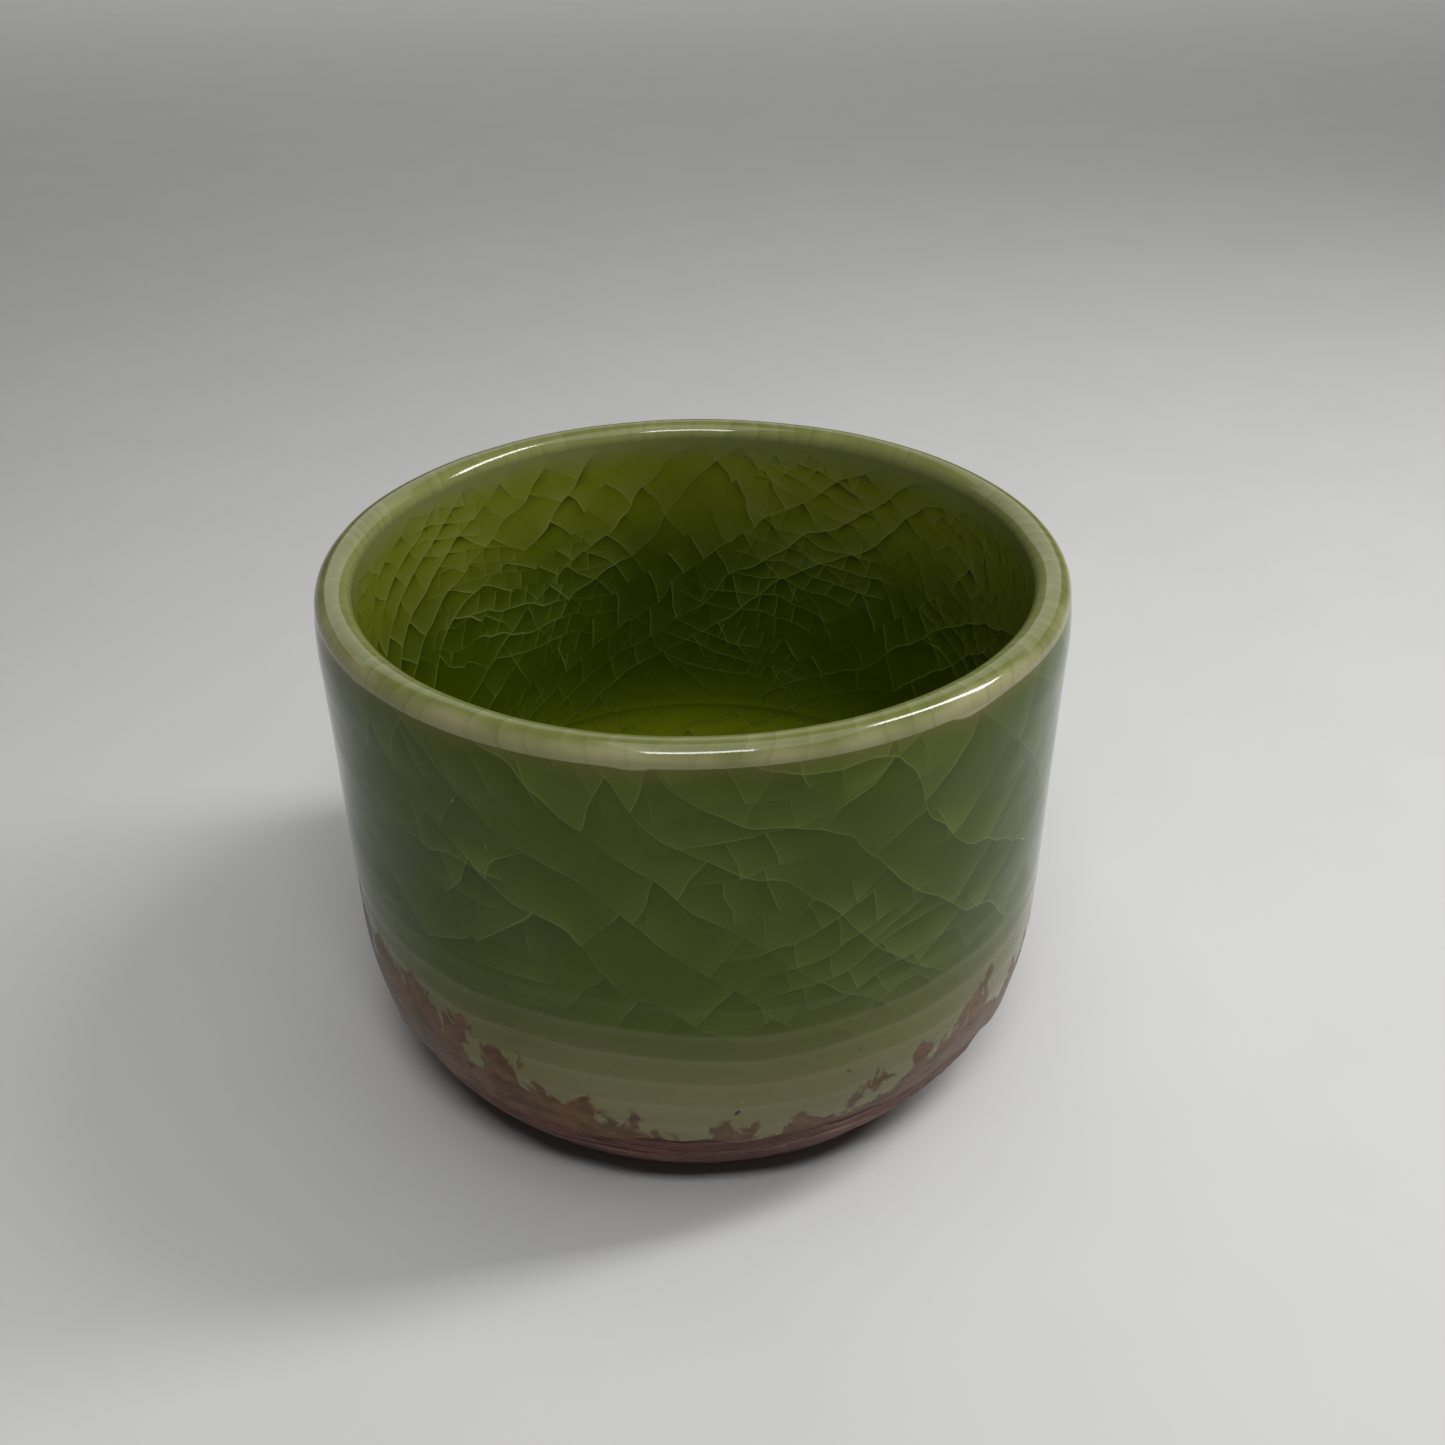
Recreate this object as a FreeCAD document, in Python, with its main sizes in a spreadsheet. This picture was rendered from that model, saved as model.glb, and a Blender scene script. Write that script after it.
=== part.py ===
import FreeCAD, Part
import math
import os
import Sketcher

# A half-cylinder tea bowl: one thrown clay body on a low foot ring, with an iron slip brushed
# round its heel and three coats of glaze. All lengths are in millimetres. The origin is the
# centre of the ring the bowl stands on, and +Z points up out of the bowl.
dimensions = {
    "bellyRadius": 55.65,      # outside of the glazed wall
    "bellyTop": 72.0,          # the wall is straight from here ...
    "bellyLow": 28.0,          # ... down to here
    "bellyArc": 52.0,          # first curve in towards the base
    "heelArc": 20.0,           # second, tighter curve
    "heelCentre": 19.45,       # height of the second curve's centre
    "heelSlope": 54.0,         # degrees, the straight run down to the base edge
    "edgeRound": 1.0,          # rounding of the base edge
    "coat": 0.8,               # outer glaze, and how far the clay lies inside the finished wall
    "slip": 0.4,               # iron slip on the heel
    "glazeEdge": 15.5,         # height of the outer glaze's lower edge
    "slipTop": 24.0,           # height of the slip's upper edge, under the glaze
    "slipEdge": 2.95,          # height of the slip's lower edge, on the clay
    "lipCentre": 52.4,         # middle of the rounded lip, from the axis
    "lipHeight": 79.8,         # middle of the rounded lip, from the table
    "lipRound": 2.6,           # half the lip's finished thickness
    "lipCoat": 0.4,            # glaze on the lip, where it runs thin
    "cornerArc": 16.0,         # clay, where the inside wall turns into the floor
    "floorHeight": 8.6,        # clay floor inside
    "linerCoat": 0.9,          # glaze on the inside wall, low down
    "linerCorner": 15.0,       # glazed inside corner
    "pool": 1.2,               # glaze gathered on the floor
    "footHeight": 2.5,
    "footRadius": 44.6,
    "footWidth": 5.6,
    "footDraft": 0.6,          # how far each side of the ring leans in by the bottom
    "footRound": 0.6,
    "recessDepth": 1.5,        # turned into the base inside the ring
    "recessDraft": 0.8,
}

doc = FreeCAD.newDocument("teaBowl")
sheet = doc.addObject("Spreadsheet::Sheet", "Dims")
for row, (word, number) in enumerate(dimensions.items(), start=1):
    sheet.set("A%d" % row, word)
    sheet.set("B%d" % row, str(number))
    sheet.setAlias("B%d" % row, word)
doc.recompute()


def size(word):
    return float(sheet.get(word))


# Points the outlines share. The two curves of the heel have one centre each, and every
# layer follows them at its own radius.
bellyCentreX = size("bellyRadius") - size("bellyArc")
centreGap = size("bellyArc") - size("heelArc")
centreDrop = size("bellyLow") - size("heelCentre")
heelCentreX = bellyCentreX + math.sqrt(centreGap ** 2 - centreDrop ** 2)
turn = math.degrees(math.asin(centreDrop / centreGap))
heelTurn = 90.0 - size("heelSlope")
clayInside = size("lipCentre") - size("lipRound") + size("lipCoat")
clayOutside = size("lipCentre") + size("lipRound") - size("lipCoat")
footInside = size("footRadius") - size("footWidth")


def around(centre, radius, degrees):
    angle = math.radians(degrees)
    return (centre[0] + radius * math.cos(angle), centre[1] + radius * math.sin(angle))


class Outline:
    """A closed half-section in the XZ plane, drawn piece after piece."""

    def __init__(self, label):
        self.body = doc.addObject("PartDesign::Body", label)
        self.body.Label = label
        planes = [item for item in self.body.Origin.OriginFeatures if item.Role == "XZ_Plane"]
        self.sketch = self.body.newObject("Sketcher::SketchObject", label + "Outline")
        self.sketch.AttachmentSupport = [(planes[0], "")]
        self.sketch.MapMode = "FlatFace"
        self.ends = []

    def line(self, start, end):
        first = FreeCAD.Vector(start[0], start[1], 0)
        last = FreeCAD.Vector(end[0], end[1], 0)
        piece = self.sketch.addGeometry(Part.LineSegment(first, last), False)
        self.ends.append((piece, 1, 2))
        if abs(start[0] - end[0]) < 1e-9:
            self.sketch.addConstraint(Sketcher.Constraint("Vertical", piece))
        if abs(start[1] - end[1]) < 1e-9:
            self.sketch.addConstraint(Sketcher.Constraint("Horizontal", piece))
        return piece

    def arc(self, centre, radius, start, end):
        circle = Part.Circle(FreeCAD.Vector(centre[0], centre[1], 0), FreeCAD.Vector(0, 0, 1), radius)
        low, high = math.radians(min(start, end)), math.radians(max(start, end))
        piece = self.sketch.addGeometry(Part.ArcOfCircle(circle, low, high), False)
        self.ends.append((piece, 1, 2) if start < end else (piece, 2, 1))
        return piece

    def join(self, smooth):
        """Each piece meets the next; the joints named in smooth are tangent."""
        for place, (piece, _, leaving) in enumerate(self.ends):
            following, entering, _ = self.ends[(place + 1) % len(self.ends)]
            kind = "Tangent" if piece in smooth else "Coincident"
            self.sketch.addConstraint(Sketcher.Constraint(kind, piece, leaving, following, entering))

    def bind(self, constraint, rule):
        index = self.sketch.addConstraint(constraint)
        name = "size%d" % index
        self.sketch.renameConstraint(index, name)
        self.sketch.setExpression("Constraints." + name, rule)

    def across(self, piece, point, rule):
        where = self.sketch.getPoint(piece, point).x
        self.bind(Sketcher.Constraint("DistanceX", -1, 1, piece, point, where), rule)

    def above(self, piece, point, rule):
        where = self.sketch.getPoint(piece, point).y
        self.bind(Sketcher.Constraint("DistanceY", -1, 1, piece, point, where), rule)

    def radius(self, piece, rule):
        self.bind(Sketcher.Constraint("Radius", piece, self.sketch.Geometry[piece].Radius), rule)

    def slope(self, piece, rule):
        self.bind(Sketcher.Constraint("Angle", piece, math.radians(size("heelSlope"))), rule)

    def throughCentre(self, arc, piece):
        self.sketch.addConstraint(Sketcher.Constraint("PointOnObject", arc, 3, piece))

    def onAxis(self, piece, point):
        self.sketch.addConstraint(Sketcher.Constraint("PointOnObject", piece, point, -2))

    def spin(self):
        """Turn the finished outline round the bowl's axis."""
        doc.recompute()
        turned = self.body.newObject("PartDesign::Revolution", self.body.Label + "Turned")
        turned.Profile = self.sketch
        turned.ReferenceAxis = (self.sketch, ["V_Axis"])
        turned.Angle = 360.0
        doc.recompute()
        return turned


def clayBody():
    """Wall, lip, floor and base as one thrown and turned piece."""
    shape = Outline("clay_body")
    base = size("footHeight")
    ceiling = base + size("recessDepth")
    recess = footInside - size("recessDraft")
    inset = size("coat")
    bellyCentre = (bellyCentreX, size("bellyLow"))
    heelCentre = (heelCentreX, size("heelCentre"))
    heelLow = around(heelCentre, size("heelArc") - inset, -heelTurn)
    drop = heelLow[1] - base - size("edgeRound") * (1 - math.sin(math.radians(heelTurn)))
    run = drop / math.tan(math.radians(size("heelSlope")))
    edgeTop = (heelLow[0] - run, heelLow[1] - drop)
    edgeCentre = around(edgeTop, size("edgeRound"), 180 - heelTurn)
    wall = size("bellyRadius") - inset
    lip = (size("lipCentre"), size("lipHeight"))
    lipRadius = size("lipRound") - size("lipCoat")
    cornerCentre = (clayInside - size("cornerArc"), size("floorHeight") + size("cornerArc"))

    top = shape.line((0, ceiling), (recess, ceiling))
    side = shape.line((recess, ceiling), (footInside, base))
    under = shape.line((footInside, base), (edgeCentre[0], base))
    edge = shape.arc(edgeCentre, size("edgeRound"), -90, -heelTurn)
    heel = shape.line(edgeTop, heelLow)
    heelCurve = shape.arc(heelCentre, size("heelArc") - inset, -heelTurn, -turn)
    bellyCurve = shape.arc(bellyCentre, size("bellyArc") - inset, -turn, 0)
    outside = shape.line((wall, size("bellyLow")), (wall, size("bellyTop")))
    shoulder = shape.line((wall, size("bellyTop")), (clayOutside, lip[1]))
    rim = shape.arc(lip, lipRadius, 0, 180)
    inside = shape.line((clayInside, lip[1]), (clayInside, cornerCentre[1]))
    corner = shape.arc(cornerCentre, size("cornerArc"), 0, -90)
    floor = shape.line((cornerCentre[0], size("floorHeight")), (0, size("floorHeight")))
    axis = shape.line((0, size("floorHeight")), (0, ceiling))
    shape.join([under, edge, heel, heelCurve, bellyCurve, inside, corner])

    shape.onAxis(axis, 1)
    shape.above(top, 1, "Dims.footHeight + Dims.recessDepth")
    shape.across(top, 2, "Dims.footRadius - Dims.footWidth - Dims.recessDraft")
    shape.across(side, 2, "Dims.footRadius - Dims.footWidth")
    shape.above(side, 2, "Dims.footHeight")
    shape.radius(edge, "Dims.edgeRound")
    shape.slope(heel, "Dims.heelSlope * 1deg")
    shape.radius(heelCurve, "Dims.heelArc - Dims.coat")
    shape.above(heelCurve, 3, "Dims.heelCentre")
    shape.radius(bellyCurve, "Dims.bellyArc - Dims.coat")
    shape.above(bellyCurve, 3, "Dims.bellyLow")
    shape.across(outside, 2, "Dims.bellyRadius - Dims.coat")
    shape.above(outside, 2, "Dims.bellyTop")
    shape.across(rim, 3, "Dims.lipCentre")
    shape.above(rim, 3, "Dims.lipHeight")
    shape.radius(rim, "Dims.lipRound - Dims.lipCoat")
    shape.above(rim, 1, "Dims.lipHeight")
    shape.above(rim, 2, "Dims.lipHeight")
    shape.radius(corner, "Dims.cornerArc")
    shape.above(floor, 1, "Dims.floorHeight")
    shape.spin()
    return shape


def footRing():
    """Low ring the bowl stands on, leaning in towards the table, with eased edges."""
    shape = Outline("foot_ring")
    height = size("footHeight")
    outer = size("footRadius")
    draft = size("footDraft")
    inner = shape.line((footInside, height), (footInside + draft, 0))
    rest = shape.line((footInside + draft, 0), (outer - draft, 0))
    outside = shape.line((outer - draft, 0), (outer, height))
    seat = shape.line((outer, height), (footInside, height))
    shape.join([])

    shape.across(inner, 1, "Dims.footRadius - Dims.footWidth")
    shape.above(seat, 1, "Dims.footHeight")
    shape.across(rest, 1, "Dims.footRadius - Dims.footWidth + Dims.footDraft")
    shape.above(rest, 1, "0")
    shape.across(rest, 2, "Dims.footRadius - Dims.footDraft")
    shape.across(outside, 2, "Dims.footRadius")
    ring = shape.spin()

    rims = []
    for number, edge in enumerate(ring.Shape.Edges, start=1):
        if edge.BoundBox.ZMax < 1e-6 and edge.Curve.TypeId == "Part::GeomCircle":
            rims.append("Edge%d" % number)
    eased = shape.body.newObject("PartDesign::Fillet", "footEased")
    eased.Base = (ring, rims)
    eased.setExpression("Radius", "Dims.footRound")
    doc.recompute()
    return shape


def ironSlip():
    """Band of iron slip on the clay's heel, its upper third under the glaze."""
    shape = Outline("iron_slip")
    heelCentre = (heelCentreX, size("heelCentre"))
    bellyCentre = (bellyCentreX, size("bellyLow"))
    heelClay = size("heelArc") - size("coat")
    heelFace = heelClay + size("slip")
    bellyClay = size("bellyArc") - size("coat")
    bellyFace = bellyClay + size("slip")
    topTurn = math.degrees(math.asin((size("bellyLow") - size("slipTop")) / bellyFace))
    clayLow = around(heelCentre, heelClay, -heelTurn)
    drop = clayLow[1] - size("slipEdge")
    run = drop / math.tan(math.radians(size("heelSlope")))
    clayEnd = (clayLow[0] - run, clayLow[1] - drop)
    faceEnd = around(clayEnd, size("slip"), -heelTurn)

    outer = shape.line(faceEnd, around(heelCentre, heelFace, -heelTurn))
    outerHeel = shape.arc(heelCentre, heelFace, -heelTurn, -turn)
    outerBelly = shape.arc(bellyCentre, bellyFace, -turn, -topTurn)
    upperEdge = shape.line(around(bellyCentre, bellyFace, -topTurn),
                           around(bellyCentre, bellyClay, -topTurn))
    innerBelly = shape.arc(bellyCentre, bellyClay, -topTurn, -turn)
    innerHeel = shape.arc(heelCentre, heelClay, -turn, -heelTurn)
    inner = shape.line(clayLow, clayEnd)
    lowerEdge = shape.line(clayEnd, faceEnd)
    shape.join([outer, outerHeel, innerBelly, innerHeel])

    shape.across(outerBelly, 3, "Dims.bellyRadius - Dims.bellyArc")
    shape.above(outerBelly, 3, "Dims.bellyLow")
    shape.above(outerHeel, 3, "Dims.heelCentre")
    shape.sketch.addConstraint(Sketcher.Constraint("Coincident", outerBelly, 3, innerBelly, 3))
    shape.above(innerHeel, 3, "Dims.heelCentre")
    shape.radius(outerHeel, "Dims.heelArc - Dims.coat + Dims.slip")
    shape.radius(innerHeel, "Dims.heelArc - Dims.coat")
    shape.radius(outerBelly, "Dims.bellyArc - Dims.coat + Dims.slip")
    shape.radius(innerBelly, "Dims.bellyArc - Dims.coat")
    shape.slope(outer, "Dims.heelSlope * 1deg")
    shape.sketch.addConstraint(Sketcher.Constraint("Parallel", inner, outer))
    shape.sketch.addConstraint(Sketcher.Constraint("Perpendicular", lowerEdge, outer))
    shape.above(inner, 2, "Dims.slipEdge")
    shape.above(upperEdge, 1, "Dims.slipTop")
    shape.throughCentre(outerBelly, upperEdge)
    shape.spin()
    return shape


def outerGlaze():
    """Thick outside coat, from under the lip down over the upper part of the slip."""
    shape = Outline("outer_glaze")
    centre = (bellyCentreX, size("bellyLow"))
    clay = size("bellyArc") - size("coat")
    overSlip = clay + size("slip")
    endTurn = math.degrees(math.asin((size("bellyLow") - size("glazeEdge")) / size("bellyArc")))
    slipTurn = math.degrees(math.asin((size("bellyLow") - size("slipTop")) / overSlip))
    belly = size("bellyRadius")
    wall = belly - size("coat")
    top = (size("lipCentre") + size("lipRound"), size("lipHeight"))
    rise = size("lipHeight") - size("bellyTop")
    inward = belly - top[0]
    shoulderArc = (inward ** 2 + rise ** 2) / (2 * inward)
    shoulderTurn = math.degrees(math.asin(rise / shoulderArc))

    bellyFace = shape.arc(centre, size("bellyArc"), -endTurn, 0)
    face = shape.line((belly, size("bellyLow")), (belly, size("bellyTop")))
    shape.arc((belly - shoulderArc, size("bellyTop")), shoulderArc, 0, shoulderTurn)
    topEdge = shape.line(top, (clayOutside, top[1]))
    shape.line((clayOutside, top[1]), (wall, size("bellyTop")))
    backWall = shape.line((wall, size("bellyTop")), (wall, size("bellyLow")))
    bellyBack = shape.arc(centre, clay, 0, -slipTurn)
    step = shape.line(around(centre, clay, -slipTurn), around(centre, overSlip, -slipTurn))
    slipBack = shape.arc(centre, overSlip, -slipTurn, -endTurn)
    lowEdge = shape.line(around(centre, overSlip, -endTurn),
                         around(centre, size("bellyArc"), -endTurn))
    shape.join([bellyFace, face, backWall])

    shape.radius(bellyFace, "Dims.bellyArc")
    shape.above(bellyFace, 3, "Dims.bellyLow")
    shape.above(bellyFace, 1, "Dims.glazeEdge")
    shape.across(face, 2, "Dims.bellyRadius")
    shape.above(face, 2, "Dims.bellyTop")
    shape.across(topEdge, 1, "Dims.lipCentre + Dims.lipRound")
    shape.above(topEdge, 1, "Dims.lipHeight")
    shape.across(topEdge, 2, "Dims.lipCentre + Dims.lipRound - Dims.lipCoat")
    shape.across(backWall, 1, "Dims.bellyRadius - Dims.coat")
    shape.above(backWall, 1, "Dims.bellyTop")
    shape.radius(bellyBack, "Dims.bellyArc - Dims.coat")
    shape.above(bellyBack, 3, "Dims.bellyLow")
    shape.throughCentre(bellyFace, step)
    shape.above(step, 2, "Dims.slipTop")
    shape.sketch.addConstraint(Sketcher.Constraint("Coincident", slipBack, 3, bellyFace, 3))
    shape.radius(slipBack, "Dims.bellyArc - Dims.coat + Dims.slip")
    shape.throughCentre(bellyFace, lowEdge)
    shape.spin()
    return shape


def lipGlaze():
    """Thin pale coat over the rounded lip."""
    shape = Outline("lip_glaze")
    centre = (size("lipCentre"), size("lipHeight"))
    full = size("lipRound")
    clay = full - size("lipCoat")
    face = shape.arc(centre, full, 0, 180)
    shape.line((centre[0] - full, centre[1]), (clayInside, centre[1]))
    back = shape.arc(centre, clay, 180, 0)
    shape.line((clayOutside, centre[1]), (centre[0] + full, centre[1]))
    shape.join([])

    shape.across(face, 3, "Dims.lipCentre")
    shape.above(face, 3, "Dims.lipHeight")
    shape.radius(face, "Dims.lipRound")
    shape.above(face, 1, "Dims.lipHeight")
    shape.above(face, 2, "Dims.lipHeight")
    shape.sketch.addConstraint(Sketcher.Constraint("Coincident", face, 3, back, 3))
    shape.radius(back, "Dims.lipRound - Dims.lipCoat")
    shape.spin()
    return shape


def linerGlaze():
    """Inside coat, thin under the lip and gathered in a shallow pool on the floor."""
    shape = Outline("liner_glaze")
    lipTop = size("lipHeight")
    clayFloor = size("floorHeight")
    clayCorner = (clayInside - size("cornerArc"), clayFloor + size("cornerArc"))
    poolTop = clayFloor + size("pool")
    corner = (clayInside - size("linerCoat") - size("linerCorner"), poolTop + size("linerCorner"))
    start = (size("lipCentre") - size("lipRound"), lipTop)
    reach = math.hypot(start[0] - corner[0], start[1] - corner[1])
    bearing = math.degrees(math.atan2(start[1] - corner[1], start[0] - corner[0]))
    lean = bearing - math.degrees(math.acos(size("linerCorner") / reach))
    touch = around(corner, size("linerCorner"), lean)

    backWall = shape.line((clayInside, clayCorner[1]), (clayInside, lipTop))
    topEdge = shape.line((clayInside, lipTop), start)
    wall = shape.line(start, touch)
    turned = shape.arc(corner, size("linerCorner"), lean, -90)
    pool = shape.line((corner[0], poolTop), (0, poolTop))
    axis = shape.line((0, poolTop), (0, clayFloor))
    backFloor = shape.line((0, clayFloor), (clayCorner[0], clayFloor))
    backCorner = shape.arc(clayCorner, size("cornerArc"), -90, 0)
    shape.join([wall, turned, backFloor, backCorner])

    shape.across(backWall, 2, "Dims.lipCentre - Dims.lipRound + Dims.lipCoat")
    shape.above(backWall, 2, "Dims.lipHeight")
    shape.across(topEdge, 2, "Dims.lipCentre - Dims.lipRound")
    shape.radius(turned, "Dims.linerCorner")
    shape.across(turned, 3, "Dims.lipCentre - Dims.lipRound + Dims.lipCoat - Dims.linerCoat"
                            " - Dims.linerCorner")
    shape.above(pool, 1, "Dims.floorHeight + Dims.pool")
    shape.onAxis(axis, 1)
    shape.above(backFloor, 1, "Dims.floorHeight")
    shape.radius(backCorner, "Dims.cornerArc")
    shape.spin()
    return shape


pieces = [clayBody(), footRing(), ironSlip(), outerGlaze(), lipGlaze(), linerGlaze()]
doc.recompute()

for item in doc.Objects:
    if "Invalid" in item.State or "Error" in item.State:
        raise SystemExit("%s did not build: %s" % (item.Name, item.State))
for piece in pieces:
    solid = piece.body.Shape
    if solid.isNull() or not solid.isValid() or len(solid.Solids) != 1:
        raise SystemExit("%s is not one valid solid" % piece.body.Label)
    if not piece.sketch.FullyConstrained:
        print("%s: outline is not fully constrained" % piece.body.Label)

os.makedirs("parts", exist_ok=True)
for piece in pieces:
    piece.body.Shape.exportStep("parts/%s.step" % piece.body.Label)
    box = piece.body.Shape.optimalBoundingBox(False, False)
    print("%-12s %9.1f mm3  r %.2f  z %.2f to %.2f"
          % (piece.body.Label, piece.body.Shape.Volume, box.XMax, box.ZMin, box.ZMax))
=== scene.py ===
import math

import bpy
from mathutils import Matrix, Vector


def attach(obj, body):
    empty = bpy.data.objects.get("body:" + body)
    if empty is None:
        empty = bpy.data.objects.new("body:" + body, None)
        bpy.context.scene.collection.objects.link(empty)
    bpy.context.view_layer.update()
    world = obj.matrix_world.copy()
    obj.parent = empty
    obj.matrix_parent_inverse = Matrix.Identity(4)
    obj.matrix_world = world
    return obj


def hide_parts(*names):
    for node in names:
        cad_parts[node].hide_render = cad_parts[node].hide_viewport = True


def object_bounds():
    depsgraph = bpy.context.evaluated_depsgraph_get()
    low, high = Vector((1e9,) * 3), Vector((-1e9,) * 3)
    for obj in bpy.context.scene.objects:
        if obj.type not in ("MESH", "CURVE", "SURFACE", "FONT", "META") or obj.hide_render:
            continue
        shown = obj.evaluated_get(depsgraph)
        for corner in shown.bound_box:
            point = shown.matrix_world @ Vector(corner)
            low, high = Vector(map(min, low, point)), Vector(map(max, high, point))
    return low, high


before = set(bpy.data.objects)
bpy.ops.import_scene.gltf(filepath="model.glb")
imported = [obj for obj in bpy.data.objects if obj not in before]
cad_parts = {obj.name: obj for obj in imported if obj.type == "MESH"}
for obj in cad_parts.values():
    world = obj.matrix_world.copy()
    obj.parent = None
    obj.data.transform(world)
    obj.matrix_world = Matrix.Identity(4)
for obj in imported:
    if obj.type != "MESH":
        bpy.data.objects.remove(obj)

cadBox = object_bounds()
mm = 0.001


def deselectAll():
    if bpy.context.object and bpy.context.object.mode != "OBJECT":
        bpy.ops.object.mode_set(mode="OBJECT")
    bpy.ops.object.select_all(action="DESELECT")


def arcPoints(centre, radius, start, end, count):
    # points along an arc in the (radius, height) plane, in millimetres, angles in degrees
    points = []
    for step in range(count + 1):
        angle = math.radians(start + (end - start) * step / count)
        points.append((centre[0] + radius * math.cos(angle), centre[1] + radius * math.sin(angle)))
    return points


def straightPoints(start, end, count):
    points = []
    for step in range(count + 1):
        share = step / count
        points.append((start[0] + (end[0] - start[0]) * share, start[1] + (end[1] - start[1]) * share))
    return points


def joined(*runs):
    # one list of points from several runs, without the doubled ends
    points = []
    for run in runs:
        for point in run:
            if not points or math.dist(points[-1], point) > 1e-4:
                points.append(point)
    return points


def turnOnWheel(name, outline, steps, closed=True):
    # extrudes one vertex along the outline, then spins it round the bowl's axis
    deselectAll()
    start = outline[0]
    bpy.ops.mesh.primitive_plane_add(size=mm, location=(start[0] * mm, 0, start[1] * mm))
    piece = bpy.context.object
    piece.name = name
    piece.data.name = name
    bpy.ops.object.transform_apply(location=True, rotation=False, scale=False)
    bpy.ops.object.mode_set(mode="EDIT")
    bpy.ops.mesh.select_all(action="SELECT")
    bpy.ops.mesh.merge(type="CENTER")
    path = outline[1:] + ([start] if closed else [])
    last = start
    for point in path:
        step = ((point[0] - last[0]) * mm, 0, (point[1] - last[1]) * mm)
        bpy.ops.mesh.extrude_vertices_move(TRANSFORM_OT_translate={"value": step})
        last = point
    bpy.ops.mesh.select_all(action="SELECT")
    bpy.ops.mesh.remove_doubles(threshold=1e-7)
    bpy.ops.mesh.select_all(action="SELECT")
    bpy.ops.mesh.spin(steps=steps, angle=math.tau, center=(0, 0, 0), axis=(0, 0, 1))
    bpy.ops.mesh.select_all(action="SELECT")
    bpy.ops.mesh.remove_doubles(threshold=2e-6)
    bpy.ops.mesh.select_all(action="SELECT")
    bpy.ops.mesh.normals_make_consistent(inside=False)
    bpy.ops.object.mode_set(mode="OBJECT")
    bpy.ops.object.shade_smooth_by_angle(angle=math.radians(40))
    return piece


def weightBy(piece, groupName, weigh):
    # a vertex group whose weight at each vertex comes from its radius and height in millimetres
    group = piece.vertex_groups.new(name=groupName)
    for vertex in piece.data.vertices:
        radius = math.hypot(vertex.co.x, vertex.co.y) / mm
        weight = weigh(radius, vertex.co.z / mm)
        if weight > 0:
            group.add([vertex.index], min(weight, 1.0), "REPLACE")


def displace(piece, texture, strength, direction="NORMAL", groupName="", middle=0.5):
    # pushes the surface by a cloud texture and applies it
    deselectAll()
    bpy.context.view_layer.objects.active = piece
    piece.select_set(True)
    modifier = piece.modifiers.new("push", "DISPLACE")
    modifier.texture = texture
    modifier.texture_coords = "LOCAL"
    modifier.strength = strength
    modifier.mid_level = middle
    modifier.direction = direction
    if groupName:
        modifier.vertex_group = groupName
    bpy.ops.object.modifier_apply(modifier=modifier.name)


def cloud(name, size, depth=2):
    texture = bpy.data.textures.new(name, "CLOUDS")
    texture.noise_scale = size
    texture.noise_depth = depth
    return texture


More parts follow.
